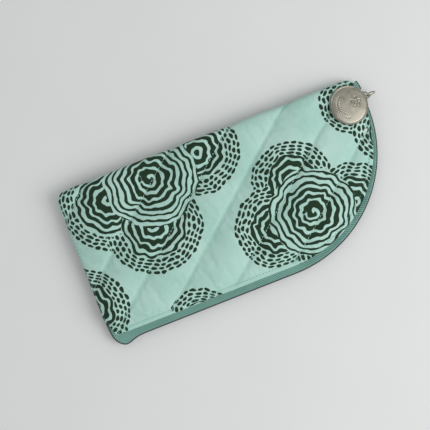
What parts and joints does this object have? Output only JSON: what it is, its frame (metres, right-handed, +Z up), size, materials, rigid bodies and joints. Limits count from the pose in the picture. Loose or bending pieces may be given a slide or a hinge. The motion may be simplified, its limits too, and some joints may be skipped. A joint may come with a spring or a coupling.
{
  "type": "brush roll case",
  "caption": "Flat quilted cotton brush case with one square and one curved end, zipped round three sides; opens like a book to a brush pocket.",
  "frame": {"origin": "middle of the underside of the closed case's box, with the pull ring included", "axes": "+X from the square end to the curved end, +Y to the spine, +Z up through the closed case to its front leaf"},
  "size_m": [0.2362, 0.1142, 0.015],
  "materials": {
    "printed_cotton": "matt quilted cotton, mint with a dark green ring print",
    "lining_cotton": "matt plain-weave cotton",
    "wadding": "matt polyester wadding",
    "zip_tape": "ribbed woven tape",
    "zip_coil": "dark nylon coil, slight sheen",
    "nickel": "warm nickel plate, satin to bright",
    "binding_cotton": "matt dark green bias binding",
    "label_satin": "plain satin ribbon, blank"
  },
  "bodies": {
    "back_leaf": {"back_outer_panel": "printed_cotton", "back_wadding": "wadding", "back_lining": "lining_cotton", "zip_tape_back": "zip_tape", "zip_coil_back": "zip_coil", "back_seam_binding": "binding_cotton", "zip_bottom_stop": "nickel", "zip_end_tab": "zip_tape", "brush_pocket_panel": "lining_cotton", "brush_pocket_binding": "binding_cotton", "care_label": "label_satin"},
    "spine": {"spine_outer": "printed_cotton", "spine_wadding": "wadding", "spine_lining": "lining_cotton"},
    "front_leaf": {"front_outer_panel": "printed_cotton", "front_wadding": "wadding", "front_lining": "lining_cotton", "zip_tape_front": "zip_tape", "zip_coil_front": "zip_coil", "front_seam_binding": "binding_cotton", "zip_top_stop": "nickel"},
    "slider": {"zip_slider": "nickel"},
    "ring": {"pull_ring": "nickel"},
    "charm": {"charm_disc": "nickel"}
  },
  "joints": [
    {"name": "spine_fold", "type": "hinge", "parent": "back_leaf", "child": "spine", "pos_m": [0, 0.05705, 0], "axis": [-1, 0, 0], "range_deg": [0, 90]},
    {"name": "front_fold", "type": "hinge", "parent": "spine", "child": "front_leaf", "pos_m": [0, 0.05705, 0.015], "axis": [-1, 0, 0], "range_deg": [0, 90]},
    {"name": "slider_run", "type": "hinge", "parent": "front_leaf", "child": "slider", "pos_m": [0.01996, 0.03305, 0.0055], "axis": [0, 0, -1], "range_deg": [0, 92]},
    {"name": "ring_swing", "type": "hinge", "parent": "slider", "child": "ring", "pos_m": [0.11293, 0.042, 0.0055], "axis": [-0.0958, 0.9954, 0], "range_deg": [0, 70]},
    {"name": "charm_swing", "type": "hinge", "parent": "ring", "child": "charm", "pos_m": [0.11466, 0.04179, 0.00653], "axis": [-0.0901, 0.9354, 0.342], "range_deg": [0, 155]}
  ],
  "couplings": [
    {"joint": "front_fold", "follows": "spine_fold", "ratio": 1}
  ]
}
